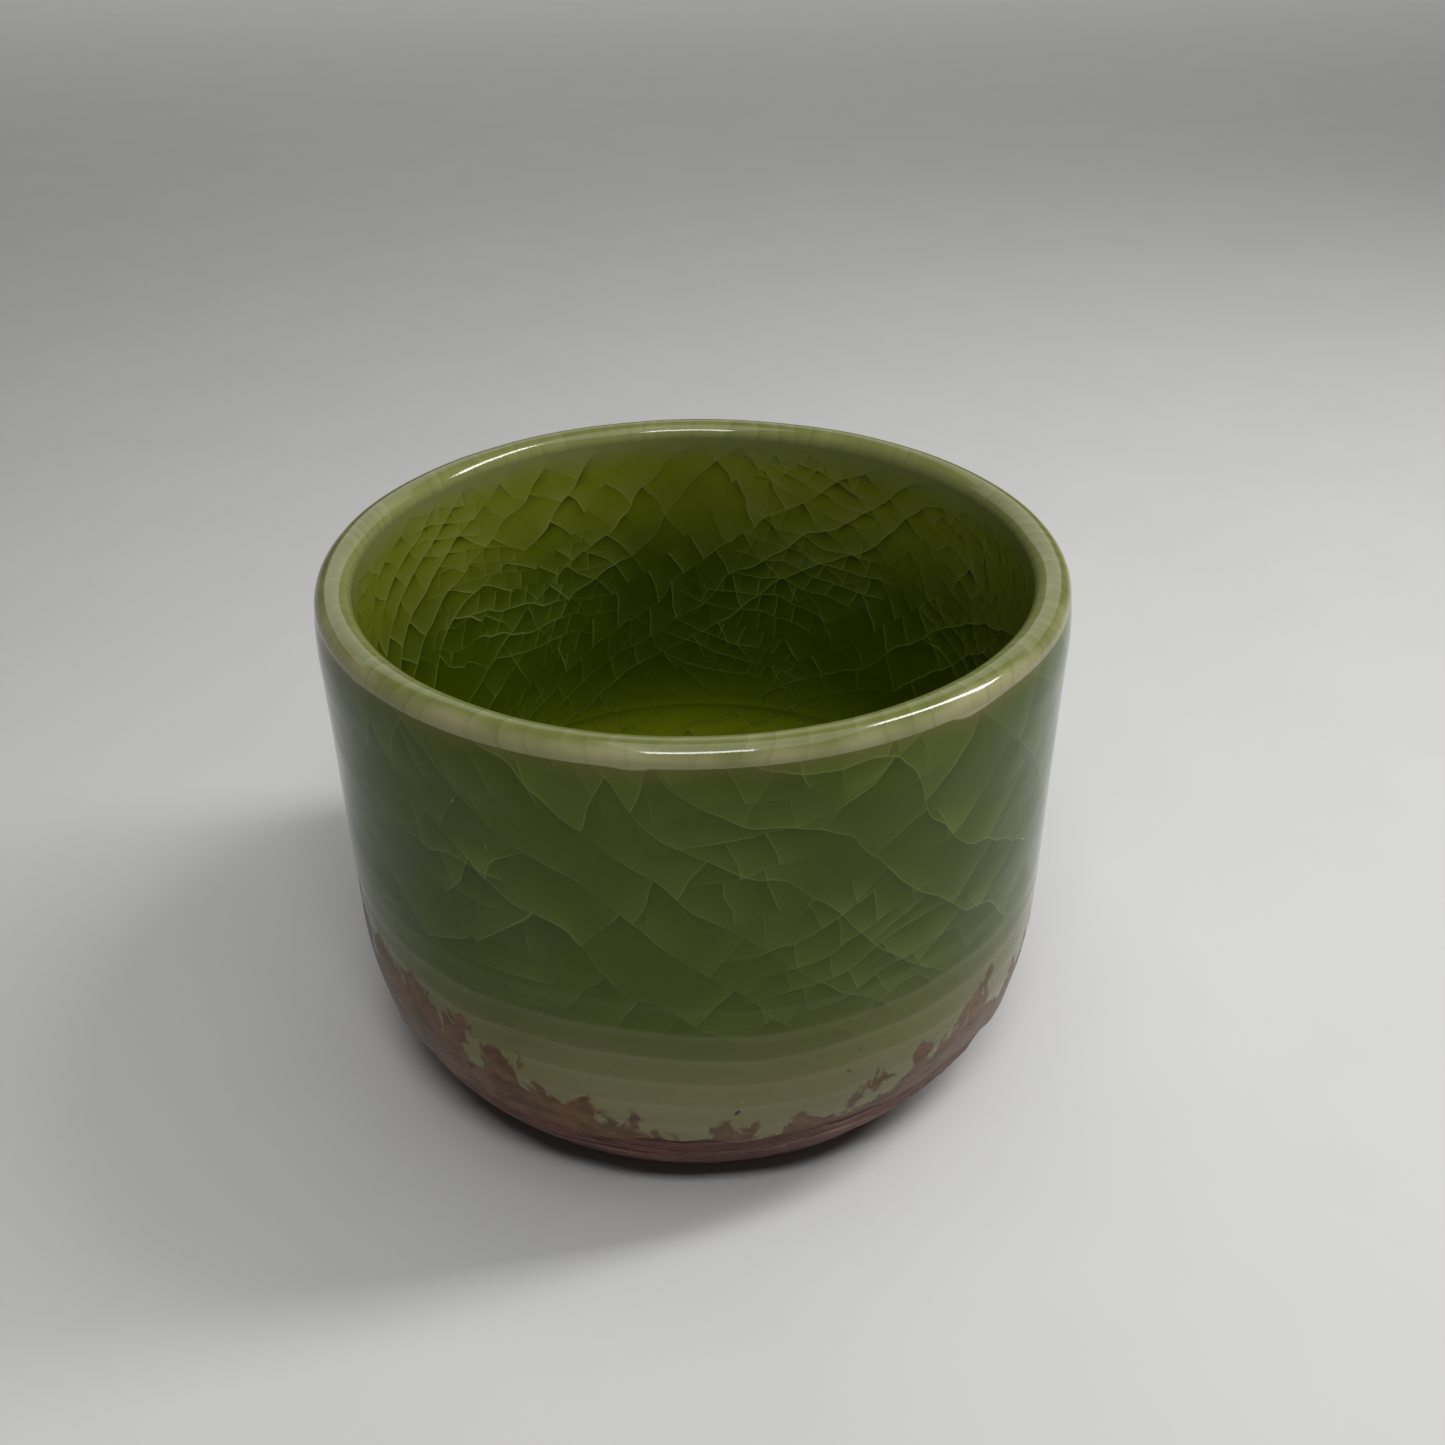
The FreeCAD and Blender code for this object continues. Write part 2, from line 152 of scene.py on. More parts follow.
class Board:
    # places nodes on one node tree and wires them up

    def __init__(self, tree):
        self.tree = tree

    def node(self, kind, **settings):
        made = self.tree.nodes.new(kind)
        for key, value in settings.items():
            setattr(made, key, value)
        return made

    def feed(self, socket, source):
        if isinstance(source, bpy.types.NodeSocket):
            self.tree.links.new(source, socket)
        else:
            socket.default_value = source

    def maths(self, operation, first, second=None, third=None):
        made = self.node("ShaderNodeMath", operation=operation)
        for place, source in enumerate((first, second, third)):
            if source is not None:
                self.feed(made.inputs[place], source)
        return made.outputs[0]

    def vector(self, operation, first, second=None, scale=None):
        made = self.node("ShaderNodeVectorMath", operation=operation)
        self.feed(made.inputs[0], first)
        if second is not None:
            self.feed(made.inputs[1], second)
        if scale is not None:
            self.feed(made.inputs["Scale"], scale)
        return made.outputs["Value"] if operation in ("DOT_PRODUCT", "LENGTH") else made.outputs[0]

    def ramp(self, value, low, high, toLow=0.0, toHigh=1.0, smooth=True):
        made = self.node("ShaderNodeMapRange", interpolation_type="SMOOTHSTEP" if smooth else "LINEAR")
        self.feed(made.inputs["Value"], value)
        self.feed(made.inputs["From Min"], low)
        self.feed(made.inputs["From Max"], high)
        self.feed(made.inputs["To Min"], toLow)
        self.feed(made.inputs["To Max"], toHigh)
        return made.outputs["Result"]

    def mix(self, share, first, second):
        made = self.node("ShaderNodeMix", data_type="RGBA")
        self.feed(made.inputs["Factor"], share)
        self.feed(made.inputs[6], first)
        self.feed(made.inputs[7], second)
        return made.outputs[2]

    def noise(self, position, scale, detail=2.0, roughness=0.5):
        made = self.node("ShaderNodeTexNoise")
        self.feed(made.inputs["Vector"], position)
        made.inputs["Scale"].default_value = scale
        made.inputs["Detail"].default_value = detail
        made.inputs["Roughness"].default_value = roughness
        return made

    def parts(self, vector):
        made = self.node("ShaderNodeSeparateXYZ")
        self.feed(made.inputs[0], vector)
        return made.outputs

    def pick(self, switch, whenOff, whenOn):
        made = self.node("ShaderNodeMix", data_type="FLOAT")
        self.feed(made.inputs["Factor"], switch)
        self.feed(made.inputs[2], whenOff)
        self.feed(made.inputs[3], whenOn)
        return made.outputs[0]

    def chance(self, first, second):
        pair = self.node("ShaderNodeCombineXYZ")
        self.feed(pair.inputs[0], first)
        self.feed(pair.inputs[1], second)
        made = self.node("ShaderNodeTexWhiteNoise", noise_dimensions="2D")
        self.feed(made.inputs["Vector"], pair.outputs[0])
        return made.outputs["Value"]

    def bump(self, shader, height, distance, strength=1.0):
        made = self.node("ShaderNodeBump")
        made.inputs["Strength"].default_value = strength
        made.inputs["Distance"].default_value = distance
        self.feed(made.inputs["Height"], height)
        self.feed(shader.inputs["Normal"], made.outputs[0])

    def stretched(self, position, scale):
        made = self.node("ShaderNodeMapping")
        self.feed(made.inputs["Vector"], position)
        made.inputs["Scale"].default_value = scale
        return made.outputs[0]

    def group(self, tree, **sources):
        made = self.node("ShaderNodeGroup", node_tree=tree)
        for key, source in sources.items():
            self.feed(made.inputs[key], source)
        return made


def newGroup(name, inputs, outputs):
    tree = bpy.data.node_groups.new(name, "ShaderNodeTree")
    for socketName, kind, value in inputs:
        socket = tree.interface.new_socket(name=socketName, in_out="INPUT", socket_type=kind)
        if value is not None:
            socket.default_value = value
    for socketName, kind in outputs:
        tree.interface.new_socket(name=socketName, in_out="OUTPUT", socket_type=kind)
    board = Board(tree)
    return board, board.node("NodeGroupInput").outputs, board.node("NodeGroupOutput").inputs


def newMaterial(name):
    material = bpy.data.materials.new(name)
    material.use_nodes = True
    board = Board(material.node_tree)
    shader = material.node_tree.nodes["Principled BSDF"]
    position = board.node("ShaderNodeTexCoord").outputs["Object"]
    return material, board, shader, position


def finishPiece(piece, material, slot, *nodes):
    piece.data.materials.clear()
    piece.data.materials.append(material)
    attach(piece, "root")
    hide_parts(*nodes)


crackleBends = {"broadScale": 20.0, "broad": 0.018, "fineScale": 130.0, "fine": 0.0030}
crackleLayers = [
    {"slope": 34, "cross": -52, "size": 1.0, "stretch": 1.1, "bend": 0.014, "seed": 3.0, "strength": 1.0,
     "patchy": False},
    {"slope": -14, "cross": 70, "size": 0.62, "stretch": 1.2, "bend": 0.010, "seed": 11.0, "strength": 0.8,
     "patchy": True},
]


def buildCrackle():
    # Ice crackle seen down through thick glaze: slanting rows of shards, lapped like shingles. Each
    # shard is pale along its lower edges, where the crack's sloping face catches light, and darkens
    # upwards. Rows close up round the bowl, because each family has a whole number of cracks.
    board, given, result = newGroup(
        "iceCrackle",
        [("Position", "NodeSocketVector", None), ("Girth", "NodeSocketFloat", 0.0556),
         ("Size", "NodeSocketFloat", 0.010), ("Floor", "NodeSocketFloat", -1.0),
         ("Line", "NodeSocketFloat", 0.00025)],
        [("Shade", "NodeSocketFloat"), ("Line", "NodeSocketFloat")])
    position = given["Position"]

    def swayed(source, scale, amount):
        shift = board.vector("SUBTRACT", board.noise(source, scale, 1.0).outputs["Color"], (0.5, 0.5, 0.5))
        return board.vector("ADD", source, board.vector("SCALE", shift, scale=amount))

    place = swayed(swayed(position, crackleBends["broadScale"], crackleBends["broad"]),
                   crackleBends["fineScale"], crackleBends["fine"])
    spot = board.parts(place)
    circle = board.maths("MULTIPLY", given["Girth"], math.tau)
    turn = board.maths("DIVIDE", board.maths("ARCTAN2", spot[1], spot[0]), math.tau)
    onFloor = board.maths("LESS_THAN", spot[2], given["Floor"])
    turn = board.pick(onFloor, turn, board.maths("DIVIDE", spot[0], circle))
    rise = board.pick(onFloor, spot[2], spot[1])

    def cut(slope, size, offset, bend, seed, key):
        # one family of cracks: the shade of its shards, its thin lines, and which row each shard is in
        width = board.maths("MULTIPLY", given["Size"], size)
        rows = board.maths("DIVIDE", board.maths("MULTIPLY", circle, math.sin(math.radians(slope))), width)
        rows = board.maths("ROUND", rows)
        count = board.maths("MULTIPLY_ADD", turn, rows, offset)
        climb = board.maths("DIVIDE", board.maths("MULTIPLY", rise, math.cos(math.radians(slope))), width)
        wander = board.noise(board.vector("ADD", position, (seed, 0, 0)), 34.0, 1.0).outputs["Fac"]
        wander = board.maths("MULTIPLY", board.maths("SUBTRACT", wander, 0.5), bend)
        wander = board.maths("DIVIDE", wander, width)
        count = board.maths("ADD", board.maths("ADD", count, climb), wander)
        limit = board.maths("ABSOLUTE", rows)
        share = board.maths("FRACT", count)
        index = board.maths("FLOORED_MODULO", board.maths("FLOOR", count), limit)
        above = board.maths("FLOORED_MODULO", board.maths("ADD", board.maths("FLOOR", count), 1.0), limit)
        cloudy = board.noise(board.vector("ADD", position, (0, seed, 0)), 55.0, 1.0).outputs["Fac"]
        fade = board.ramp(cloudy, 0.38, 0.56, 0.35, 1.0)
        lowForce = board.ramp(board.chance(index, key), 0.1, 0.55, 0.12, 1.0)
        lowForce = board.maths("MULTIPLY", lowForce, fade)
        highForce = board.ramp(board.chance(above, key), 0.1, 0.55, 0.12, 1.0)
        highForce = board.maths("MULTIPLY", highForce, fade)
        back = board.maths("SUBTRACT", 1.0, share)
        pale = board.maths("MULTIPLY", board.maths("POWER", back, 2.4), lowForce)
        dark = board.maths("MULTIPLY", board.maths("POWER", share, 5.0), highForce)
        shade = board.maths("SUBTRACT", pale, board.maths("MULTIPLY", dark, 0.75))
        lowLine = board.ramp(board.maths("MULTIPLY", share, width), 0.0, given["Line"], 1.0, 0.0)
        return shade, board.maths("MULTIPLY", lowLine, lowForce), index

    shades, lines = [], []
    for layer in crackleLayers:
        seed = layer["seed"]
        longShade, longLine, row = cut(layer["slope"], layer["size"], 0.0, layer["bend"], seed, seed)
        shift = board.maths("MULTIPLY", board.chance(row, seed + 5.0), 9.0)
        crossKey = board.maths("MULTIPLY", shift, 0.37)
        crossShade, crossLine, _ = cut(layer["cross"], layer["size"] * layer["stretch"], shift,
                                       layer["bend"], seed + 2.0, crossKey)
        presence = layer["strength"]
        if layer["patchy"]:
            patch = board.ramp(board.noise(position, 48.0, 1.0).outputs["Fac"], 0.44, 0.56)
            presence = board.maths("MULTIPLY", patch, presence)
        both = board.maths("ADD", longShade, board.maths("MULTIPLY", crossShade, 0.8))
        shades.append(board.maths("MULTIPLY", both, presence))
        lines.append(board.maths("MULTIPLY", board.maths("MAXIMUM", longLine, crossLine), presence))
    board.feed(result["Shade"], board.maths("ADD", *shades))
    board.feed(result["Line"], board.maths("MAXIMUM", *lines))
    return board.tree


def buildRings():
    # level steps left by the thrower's fingers, where glaze has thinned: palest just under each step
    board, given, result = newGroup(
        "throwingRings",
        [("Position", "NodeSocketVector", None), ("Pitch", "NodeSocketFloat", 0.0046),
         ("Start", "NodeSocketFloat", 0.0383)],
        [("Crest", "NodeSocketFloat")])
    sway = board.noise(given["Position"], 22.0, 2.0).outputs["Fac"]
    height = board.maths("ADD", board.parts(given["Position"])[2],
                         board.maths("MULTIPLY", board.maths("SUBTRACT", sway, 0.5), 0.0065))
    turns = board.maths("DIVIDE", board.maths("SUBTRACT", height, given["Start"]), given["Pitch"])
    share = board.maths("FRACT", turns)
    crest = board.maths("MULTIPLY", board.maths("POWER", share, 3.0), board.ramp(share, 1.0, 0.84))
    board.feed(result["Crest"], crest)
    return board.tree


def buildIron():
    # iron burning through thin glaze: tongues that climb from the foot, lowest at the front
    board, given, result = newGroup(
        "ironBloom",
        [("Position", "NodeSocketVector", None), ("Level", "NodeSocketFloat", 0.0300)],
        [("Cover", "NodeSocketFloat"), ("Rim", "NodeSocketFloat")])
    spot = board.parts(given["Position"])
    front = board.maths("MULTIPLY_ADD", board.maths("DIVIDE", spot[1], 0.0556), -0.5, 0.5)
    front = board.maths("POWER", board.maths("MAXIMUM", front, 0.0), 9.0)
    level = board.maths("SUBTRACT", given["Level"], board.maths("MULTIPLY", front, 0.0118))
    level = board.maths("SUBTRACT", level, board.maths("MULTIPLY", spot[0], 0.045))
    moved = board.vector("ADD", given["Position"], (0.31, 0.07, 0.0))
    curl = board.vector("SUBTRACT", board.noise(moved, 190.0, 1.0).outputs["Color"], (0.5, 0.5, 0.5))
    moved = board.vector("ADD", moved, board.vector("SCALE", curl, scale=0.006))
    tongues = board.noise(board.stretched(moved, (185, 185, 88)), 1.0, 5.0, 0.62).outputs["Fac"]
    lobes = board.noise(board.stretched(moved, (42, 42, 16)), 1.0, 1.0).outputs["Fac"]
    reach = board.maths("ADD", board.maths("MULTIPLY", board.maths("SUBTRACT", tongues, 0.5), 0.052),
                        board.maths("MULTIPLY", board.maths("SUBTRACT", lobes, 0.5), 0.018))
    reach = board.maths("MULTIPLY", reach, board.maths("MULTIPLY_ADD", front, -0.5, 1.0))
    over = board.maths("SUBTRACT", board.maths("ADD", level, reach), spot[2])
    cover = board.ramp(over, -0.0004, 0.0020)
    rim = board.maths("MULTIPLY", cover, board.ramp(over, 0.0010, 0.0042, 1.0, 0.0))
    board.feed(result["Cover"], cover)
    board.feed(result["Rim"], rim)
    return board.tree


crackle = buildCrackle()
throwingRings = buildRings()
ironBloom = buildIron()
print("shared effects ready")


claySettings = {
    "steps": 192, "warm": (0.20, 0.115, 0.075, 1), "light": (0.29, 0.18, 0.12, 1),
    "speck": (0.10, 0.06, 0.045, 1), "roughness": 0.85,
}


def clayMaterial():
    material, board, shader, position = newMaterial("bareClay")
    grain = board.noise(position, 900.0, 4.0, 0.6).outputs["Fac"]
    broad = board.noise(position, 60.0, 3.0).outputs["Fac"]
    colour = board.mix(broad, claySettings["warm"], claySettings["light"])
    colour = board.mix(board.ramp(grain, 0.62, 0.75), colour, claySettings["speck"])
    board.feed(shader.inputs["Base Color"], colour)
    shader.inputs["Roughness"].default_value = claySettings["roughness"]
    board.bump(shader, grain, 0.0003, 0.35)
    return material


def buildClayBody():
    outline = joined(
        straightPoints((0, 4.0), (38.2, 4.0), 24),
        straightPoints((38.2, 4.0), (39.0, 2.5), 3),
        straightPoints((39.0, 2.5), (45.4, 2.5), 6),
        arcPoints((45.396, 3.5), 1.0, -90, -36, 5),
        straightPoints((46.205, 2.912), (50.019, 8.162), 10),
        arcPoints((34.486, 19.45), 19.2, -36, -15.5, 8),
        arcPoints((3.65, 28.0), 51.2, -15.5, 0, 12),
        straightPoints((54.85, 28.0), (54.85, 72.0), 8),
        straightPoints((54.85, 72.0), (54.6, 79.8), 3),
        arcPoints((52.4, 79.8), 2.2, 0, 180, 12),
        straightPoints((50.2, 79.8), (50.2, 24.6), 8),
        arcPoints((34.2, 24.6), 16.0, 0, -90, 12),
        straightPoints((34.2, 8.6), (0, 8.6), 8))
    piece = turnOnWheel("clayBody", outline, claySettings["steps"], closed=False)
    finishPiece(piece, clayMaterial(), "clay", "clay_body")
    return piece


clayBody = buildClayBody()
print("clay body turned")


footSettings = {"steps": 192}


def buildFootRing():
    outline = joined(
        straightPoints((39.0, 2.5), (39.5, 0.6), 4),
        arcPoints((40.1, 0.6), 0.6, 180, 270, 5),
        straightPoints((40.1, 0.0), (43.4, 0.0), 4),
        arcPoints((43.4, 0.6), 0.6, -90, -12, 5),
        straightPoints((44.1, 0.6), (44.6, 2.5), 4))
    piece = turnOnWheel("footRing", outline, footSettings["steps"])
    finishPiece(piece, clayMaterial(), "clay", "foot_ring")
    return piece


footRing = buildFootRing()
print("foot ring turned")


slipSettings = {
    "steps": 300, "ledge": 0.16, "ledgePitch": 1.7, "wobble": 1.6, "roughen": 0.35,
    "dark": (0.040, 0.012, 0.010, 1), "mid": (0.165, 0.058, 0.040, 1), "pale": (0.42, 0.30, 0.24, 1),
    "stain": (0.075, 0.030, 0.018, 1), "roughness": 0.42, "specular": 0.15,
}


def slipMaterial():
    # purple-brown and rough, with level streaks dragged round by the thrower's rib
    material, board, shader, position = newMaterial("ironSlip")
    bent = board.vector("ADD", position, board.vector(
        "SCALE", board.vector("SUBTRACT", board.noise(position, 60.0, 1.0).outputs["Color"],
                              (0.5, 0.5, 0.5)), scale=0.006))
    streaks = board.noise(board.stretched(bent, (38, 38, 620)), 1.0, 4.0, 0.6).outputs["Fac"]
    grain = board.noise(position, 420.0, 3.0, 0.6).outputs["Fac"]
    broad = board.noise(position, 70.0, 3.0).outputs["Fac"]
    colour = board.mix(board.ramp(streaks, 0.38, 0.50), slipSettings["dark"], slipSettings["mid"])
    colour = board.mix(board.ramp(streaks, 0.57, 0.70, 0.0, 0.85), colour, slipSettings["pale"])
    colour = board.mix(board.ramp(broad, 0.40, 0.66, 0.0, 0.6), colour, slipSettings["stain"])
    colour = board.mix(board.ramp(grain, 0.35, 0.62, 0.35, 0.0), colour, slipSettings["dark"])
    board.feed(shader.inputs["Base Color"], colour)
    shader.inputs["Roughness"].default_value = slipSettings["roughness"]
    shader.inputs["Specular IOR Level"].default_value = slipSettings["specular"]
    height = board.maths("ADD", streaks, board.maths("MULTIPLY", grain, 0.35))
    board.bump(shader, height, 0.0009, 0.9)
    return material


def ledged(points):
    # notches a run of points inwards, in uneven level ledges
    pitch, depth = slipSettings["ledgePitch"], slipSettings["ledge"]
    cut = []
    for radius, height in points:
        wave = abs(math.sin(math.pi * height / pitch)) * (0.6 + 0.4 * math.sin(height * 1.3))
        cut.append((radius - depth * (1 - wave), height))
    return cut


def buildSlip():
    seen = joined(
        straightPoints((46.53, 2.677), (50.34, 7.93), 26),
        arcPoints((34.486, 19.45), 19.6, -36, -15.5, 30))
    outline = joined(
        ledged(seen),
        arcPoints((3.65, 28.0), 51.6, -15.5, -4.45, 12),
        arcPoints((3.65, 28.0), 51.2, -4.45, -15.5, 4),
        arcPoints((34.486, 19.45), 19.2, -15.5, -36, 5),
        straightPoints((50.019, 8.162), (46.205, 2.912), 5))
    piece = turnOnWheel("ironSlip", outline, slipSettings["steps"])
    weightBy(piece, "bare", lambda radius, height: min((height - 3.6) / 2, 1) if height < 16 else 0)
    displace(piece, cloud("slipWobble", 0.012), slipSettings["wobble"] * mm, "Z", "bare")
    displace(piece, cloud("slipGrit", 0.0022, 3), slipSettings["roughen"] * mm, "NORMAL", "bare")
    finishPiece(piece, slipMaterial(), "iron_slip", "iron_slip")
    return piece


ironSlip = buildSlip()
print("iron slip brushed on")


glaze = {
    "deep": (0.045, 0.070, 0.0010, 1),
    "dark": (0.028, 0.043, 0.0006, 1),
    "lit": (0.100, 0.130, 0.019, 1),
    "lip": (0.098, 0.110, 0.028, 1),
    "blush": (0.31, 0.285, 0.160, 1),
    "line": (0.21, 0.235, 0.085, 1),
    "roughness": 0.09,
}


def setGloss(shader, specular):
    shader.inputs["Roughness"].default_value = glaze["roughness"]
    shader.inputs["Specular IOR Level"].default_value = specular


def shadeCracks(board, colour, pattern, amount, lit, dark, line):
    # lays a crackle pattern's pale and dark sides and its thin lines over a glaze colour: the pale side is
    # painted light caught by the sloping crack faces, the dark side is painted shade
    shade = board.maths("MULTIPLY", pattern.outputs["Shade"], amount)
    colour = board.mix(board.ramp(shade, 0.0, 1.2, 0.0, 0.9, smooth=False), colour, lit)
    colour = board.mix(board.ramp(shade, 0.0, -0.9, 0.0, 0.85, smooth=False), colour, dark)
    lines = board.maths("MULTIPLY", board.maths("MULTIPLY", pattern.outputs["Line"], amount), 0.6)
    return board.mix(lines, colour, line)


outerSettings = {
    "steps": 300, "ringDepth": 0.05, "ringPitch": 4.6, "uneven": 0.30, "edgeWander": 2.6,
    "thin": (0.192, 0.176, 0.082, 1), "ring": (0.25, 0.24, 0.13, 1),
    "iron": (0.150, 0.070, 0.028, 1), "ironRim": (0.070, 0.028, 0.012, 1),
    "shardSize": 0.0083, "lineWidth": 0.00028, "specular": 0.19, "ironRoughness": 0.34,
    "deepAlso": (0.054, 0.074, 0.0035, 1), "paintedGlint": (0.45, 0.46, 0.28, 1),
    "halo": (0.120, 0.102, 0.030, 1), "speck": (0.035, 0.028, 0.014, 1),
}


def outerMaterial():
    material, board, shader, position = newMaterial("outerCeladon")
    height = board.parts(position)[2]
    wander = board.noise(position, 30.0, 2.0).outputs["Fac"]
    wander = board.maths("MULTIPLY", board.maths("SUBTRACT", wander, 0.5), 0.007)
    level = board.maths("ADD", height, wander)
    deep = board.mix(board.ramp(board.noise(position, 26.0, 2.0).outputs["Fac"], 0.35, 0.65),
                     glaze["deep"], outerSettings["deepAlso"])
    colour = board.mix(board.ramp(level, 0.042, 0.021, 0.0, 0.95), deep, outerSettings["thin"])
    crest = board.group(throwingRings, Position=position).outputs["Crest"]
    bands = board.maths("MULTIPLY", crest, board.ramp(level, 0.047, 0.034, 0.0, 0.42))
    colour = board.mix(bands, colour, outerSettings["ring"])

    pattern = board.group(crackle, Position=position, Girth=0.0556, Size=outerSettings["shardSize"],
                          Floor=-1.0, Line=outerSettings["lineWidth"])
    present = board.ramp(level, 0.032, 0.044, 0.10, 0.62)
    colour = shadeCracks(board, colour, pattern, present, glaze["lit"], glaze["dark"], glaze["line"])

    # painted glints of light where cracks meet
    glints = board.ramp(board.noise(position, 420.0, 1.0).outputs["Fac"], 0.735, 0.76)
    glintSpots = board.maths("MULTIPLY", glints, board.ramp(pattern.outputs["Line"], 0.05, 0.4))
    colour = board.mix(board.maths("MULTIPLY", glintSpots, 0.8), colour, outerSettings["paintedGlint"])

    # the lip's pale coat ends in shallow scallops, with a brown stain fading under it
    halo = board.noise(position, 85.0, 1.0).outputs["Fac"]
    edge = board.maths("ADD", height, board.maths("MULTIPLY", board.maths("SUBTRACT", halo, 0.5), 0.0038))
    colour = board.mix(board.ramp(edge, 0.0772, 0.0799, 0.0, 0.50), colour, outerSettings["halo"])
    colour = board.mix(board.ramp(edge, 0.0799, 0.0802, 0.0, 0.80), colour, glaze["blush"])

    iron = board.group(ironBloom, Position=position)
    mottle = board.noise(board.stretched(position, (260, 260, 420)), 1.0, 3.0, 0.6).outputs["Fac"]
    tint = board.mix(board.ramp(mottle, 0.35, 0.62), outerSettings["ironRim"], outerSettings["iron"])
    tint = board.mix(board.maths("MULTIPLY", iron.outputs["Rim"], 0.5), tint, outerSettings["ironRim"])
    colour = board.mix(board.maths("MULTIPLY", iron.outputs["Cover"], 0.92), colour, tint)
    specks = board.ramp(board.noise(position, 380.0, 1.0).outputs["Fac"], 0.745, 0.775)
    specks = board.maths("MULTIPLY", specks, board.ramp(height, 0.034, 0.028, 0.0, 0.9))
    colour = board.mix(specks, colour, outerSettings["speck"])
    board.feed(shader.inputs["Base Color"], colour)
    setGloss(shader, outerSettings["specular"])
    roughness = board.ramp(iron.outputs["Cover"], 0.0, 1.0,
                           glaze["roughness"], outerSettings["ironRoughness"])
    board.feed(shader.inputs["Roughness"], roughness)
    soft = board.noise(board.stretched(position, (40, 40, 90)), 1.0, 2.0).outputs["Fac"]
    drag = board.noise(board.stretched(position, (45, 45, 420)), 1.0, 3.0, 0.6).outputs["Fac"]
    drag = board.maths("MULTIPLY", drag, board.ramp(level, 0.034, 0.024, 0.0, 0.6))
    board.bump(shader, board.maths("ADD", soft, drag), 0.0010, 0.4)
    return material


def ringed(points):
    # shallow finger grooves between the foot and the middle of the wall
    depth, pitch = outerSettings["ringDepth"], outerSettings["ringPitch"]
    cut = []
    for radius, height in points:
        reach = max(0.0, 1 - abs(height - 34) / 10)
        wave = 0.5 - 0.5 * math.cos(math.tau * (height - 38.3) / pitch)
        cut.append((radius - depth * reach * wave, height))
    return cut


def buildOuterCoat():
    seen = joined(
        arcPoints((3.65, 28.0), 52.0, -13.9, 0, 30),
        straightPoints((55.65, 28.0), (55.65, 72.0), 70),
        arcPoints((8.55, 72.0), 47.1, 0, 9.53, 12))
    outline = joined(
        ringed(seen),
        straightPoints((55.0, 79.8), (54.6, 79.8), 1),
        straightPoints((54.6, 79.8), (54.85, 72.0), 3),
        straightPoints((54.85, 72.0), (54.85, 28.0), 6),
        arcPoints((3.65, 28.0), 51.2, 0, -4.4, 3),
        arcPoints((3.65, 28.0), 51.6, -4.4, -13.9, 6))
    piece = turnOnWheel("outerCoat", outline, outerSettings["steps"])
    weightBy(piece, "skirt", lambda radius, height: (21 - height) / 5 if height < 21 else 0)
    displace(piece, cloud("glazeEdge", 0.008, 2), outerSettings["edgeWander"] * mm, "Z", "skirt")
    weightBy(piece, "wall", lambda radius, height: min((78 - height) / 8, 1) if radius > 53 else 0)
    displace(piece, cloud("glazePool", 0.022, 1), outerSettings["uneven"] * mm, "NORMAL", "wall", 1.0)
    finishPiece(piece, outerMaterial(), "outer_glaze", "outer_glaze")
    return piece


outerCoat = buildOuterCoat()
print("outer coat poured")


lipSettings = {
    "steps": 300, "cracks": 104, "specular": 0.29, "uneven": 0.20, "second": (0.108, 0.116, 0.034, 1),
    "inner": (0.140, 0.158, 0.050, 1), "crackPale": (0.20, 0.21, 0.10, 1),
    "crackDark": (0.070, 0.080, 0.022, 1),
}


def lipMaterial():
    # pale over the top, blushing pink outside where the clay shows through, greening inwards
    material, board, shader, position = newMaterial("lipCeladon")
    spot = board.parts(position)
    radius = board.vector("LENGTH", board.stretched(position, (1, 1, 0)))
    sway = board.noise(position, 85.0, 1.0).outputs["Fac"]
    drift = board.maths("MULTIPLY", board.maths("SUBTRACT", sway, 0.5), 0.003)
    outward = board.ramp(board.maths("ADD", radius, drift), 0.0533, 0.0551)
    mottle = board.noise(position, 160.0, 3.0).outputs["Fac"]
    pale = board.mix(board.ramp(mottle, 0.3, 0.7), glaze["lip"], lipSettings["second"])
    colour = board.mix(board.maths("MULTIPLY", outward, 0.7), pale, glaze["blush"])
    # lighter towards the inner edge: partly paler glaze, partly painted light where little lamp light
    # reaches the inward-facing lip
    inward = board.ramp(board.maths("ADD", radius, drift), 0.0520, 0.0499)
    colour = board.mix(inward, colour, lipSettings["inner"])

    # short cracks across the lip, at uneven steps round it, each painted with light on one side of the
    # crack and painted shade on the other
    angle = board.maths("ARCTAN2", spot[1], spot[0])
    bend = board.noise(position, 45.0, 1.0).outputs["Fac"]
    count = board.maths("MULTIPLY_ADD", angle, lipSettings["cracks"] / math.tau,
                        board.maths("MULTIPLY", bend, 7.0))
    share = board.maths("FRACT", count)
    index = board.maths("FLOORED_MODULO", board.maths("FLOOR", count), lipSettings["cracks"])
    force = board.chance(index, 3.0)
    shade = board.maths("MULTIPLY", board.ramp(share, 0.0, 0.7, 1.0, 0.0, smooth=False), force)
    colour = board.mix(board.maths("MULTIPLY", shade, 0.30), colour, lipSettings["crackPale"])
    rest = board.maths("MULTIPLY", board.ramp(share, 0.75, 1.0, smooth=False), force)
    colour = board.mix(board.maths("MULTIPLY", rest, 0.35), colour, lipSettings["crackDark"])
    board.feed(shader.inputs["Base Color"], colour)
    setGloss(shader, lipSettings["specular"])
    return material


